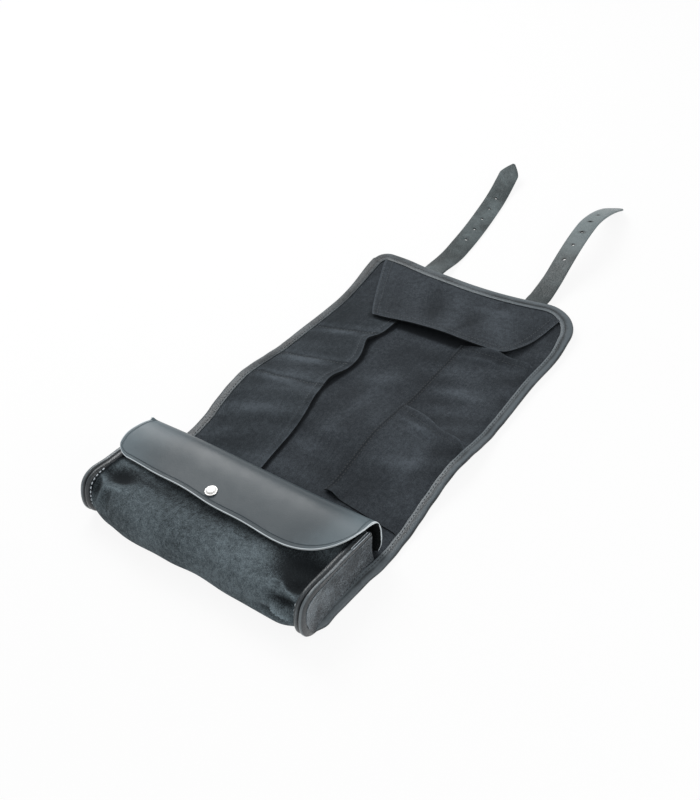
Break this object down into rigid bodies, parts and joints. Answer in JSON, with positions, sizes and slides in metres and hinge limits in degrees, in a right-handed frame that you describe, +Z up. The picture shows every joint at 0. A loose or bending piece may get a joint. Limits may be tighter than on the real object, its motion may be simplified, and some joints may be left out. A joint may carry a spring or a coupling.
{
  "type": "tool roll with box pouch",
  "caption": "Canvas tool roll bound in leather, lying open: a box pouch with a snap flap, flat side pockets, a retaining flap and buckled straps that hold it when it is wound up.",
  "frame": {"origin": "under the middle of the pouch, on the face that the roll rests on", "axes": "+Z up out of the inside of the open roll, +Y along the sheet from the pouch to the straps, +X across it"},
  "size_m": [0.288, 0.7889, 0.0539],
  "materials": {
    "sheet_canvas": "waxed cotton canvas, matt black",
    "pouch_canvas": "waxed cotton canvas, slightly greyer",
    "binding_leather": "soft black leather, semi-gloss",
    "flap_leather": "smooth black leather, satin",
    "strap_leather": "black strap leather, satin",
    "nickel": "nickel plate, polished"
  },
  "bodies": {
    "base": {"base_panel": "sheet_canvas", "base_binding_left": "binding_leather", "base_binding_right": "binding_leather", "pouch_front": "pouch_canvas", "gusset_left": "binding_leather", "gusset_right": "binding_leather", "gusset_rim_left": "binding_leather", "gusset_rim_right": "binding_leather", "snap_stud": "nickel", "flap_tab": "flap_leather"},
    "flap_back": {"flap_back": "flap_leather"},
    "flap_lid": {"flap_lid": "flap_leather", "snap_cap": "nickel", "snap_socket": "nickel"},
    "riser": {"riser_panel": "sheet_canvas", "riser_binding_left": "binding_leather", "riser_binding_right": "binding_leather", "left_pocket_1": "sheet_canvas", "right_pocket_1": "sheet_canvas"},
    "top": {"top_panel": "sheet_canvas", "top_binding_left": "binding_leather", "top_binding_right": "binding_leather", "left_pocket_2": "sheet_canvas", "left_pocket_3": "sheet_canvas", "right_pocket_2": "sheet_canvas", "right_pocket_3": "sheet_canvas", "belt_top_left": "strap_leather", "belt_top_right": "strap_leather", "chape_left": "strap_leather", "chape_right": "strap_leather"},
    "front": {"front_panel": "sheet_canvas", "front_binding_left": "binding_leather", "front_binding_right": "binding_leather", "left_pocket_4": "sheet_canvas", "right_pocket_4": "sheet_canvas", "belt_front_left": "strap_leather", "belt_front_right": "strap_leather"},
    "far": {"far_panel": "sheet_canvas", "far_binding": "binding_leather", "left_pocket_5": "sheet_canvas", "right_pocket_5": "sheet_canvas", "belt_far_left": "strap_leather", "belt_far_right": "strap_leather"},
    "far_flap": {"far_flap": "sheet_canvas"},
    "strap_left": {"strap_root_left": "strap_leather"},
    "strap_left_end": {"strap_end_left": "strap_leather"},
    "buckle_left": {"buckle_frame_left": "nickel"},
    "prong_left": {"buckle_prong_left": "nickel"},
    "strap_right": {"strap_root_right": "strap_leather"},
    "strap_right_end": {"strap_end_right": "strap_leather"},
    "buckle_right": {"buckle_frame_right": "nickel"},
    "prong_right": {"buckle_prong_right": "nickel"}
  },
  "joints": [
    {"name": "fold_1", "type": "hinge", "parent": "base", "child": "riser", "pos_m": [0, 0.056, 0.005], "axis": [-1, 0, 0], "range_deg": [-90, 0]},
    {"name": "fold_2", "type": "hinge", "parent": "riser", "child": "top", "pos_m": [0, 0.118, 0.00839], "axis": [-1, 0, 0], "range_deg": [-90, 0]},
    {"name": "fold_3", "type": "hinge", "parent": "top", "child": "front", "pos_m": [0, 0.24, 0.00876], "axis": [-1, 0, 0], "range_deg": [-90, 0]},
    {"name": "fold_4", "type": "hinge", "parent": "front", "child": "far", "pos_m": [0, 0.318, 0.0078], "axis": [-1, 0, 0], "range_deg": [-90, 0]},
    {"name": "flap_back_hinge", "type": "hinge", "parent": "base", "child": "flap_back", "pos_m": [0, 0.0485, 0.00555], "axis": [-1, 0, 0], "range_deg": [0, 65]},
    {"name": "flap_lid_hinge", "type": "hinge", "parent": "flap_back", "child": "flap_lid", "pos_m": [0, 0.0485, 0.03985], "axis": [-1, 0, 0], "range_deg": [0, 105]},
    {"name": "far_flap_hinge", "type": "hinge", "parent": "far", "child": "far_flap", "pos_m": [0, 0.451, 0.0131], "axis": [-1, 0, 0], "range_deg": [0, 120]},
    {"name": "strap_left_root", "type": "hinge", "parent": "far", "child": "strap_left", "pos_m": [-0.0645, 0.4623, 0.00814], "axis": [-1, 0, 0], "range_deg": [-92, 0]},
    {"name": "strap_left_bend", "type": "hinge", "parent": "strap_left", "child": "strap_left_end", "pos_m": [-0.0645, 0.5506, 0.00235], "axis": [-1, 0, 0], "range_deg": [-82, 0]},
    {"name": "strap_right_root", "type": "hinge", "parent": "far", "child": "strap_right", "pos_m": [0.0735, 0.4623, 0.00814], "axis": [-1, 0, 0], "range_deg": [-84, 0]},
    {"name": "strap_right_bend", "type": "hinge", "parent": "strap_right", "child": "strap_right_end", "pos_m": [0.0735, 0.54548, 0.02919], "axis": [-1, 0, 0], "range_deg": [-82, 0]},
    {"name": "buckle_left_swing", "type": "hinge", "parent": "top", "child": "buckle_left", "pos_m": [-0.0645, 0.18, 0.00542], "axis": [1, 0, 0], "range_deg": [0, 75]},
    {"name": "prong_left_swing", "type": "hinge", "parent": "buckle_left", "child": "prong_left", "pos_m": [-0.0645, 0.18, 0.00542], "axis": [1, 0, 0], "range_deg": [0, 35]},
    {"name": "buckle_right_swing", "type": "hinge", "parent": "top", "child": "buckle_right", "pos_m": [0.0735, 0.18, 0.00542], "axis": [1, 0, 0], "range_deg": [0, 75]},
    {"name": "prong_right_swing", "type": "hinge", "parent": "buckle_right", "child": "prong_right", "pos_m": [0.0735, 0.18, 0.00542], "axis": [1, 0, 0], "range_deg": [0, 35]}
  ],
  "couplings": [
    {"joint": "fold_2", "follows": "fold_1", "ratio": 1},
    {"joint": "fold_3", "follows": "fold_1", "ratio": 1}
  ]
}
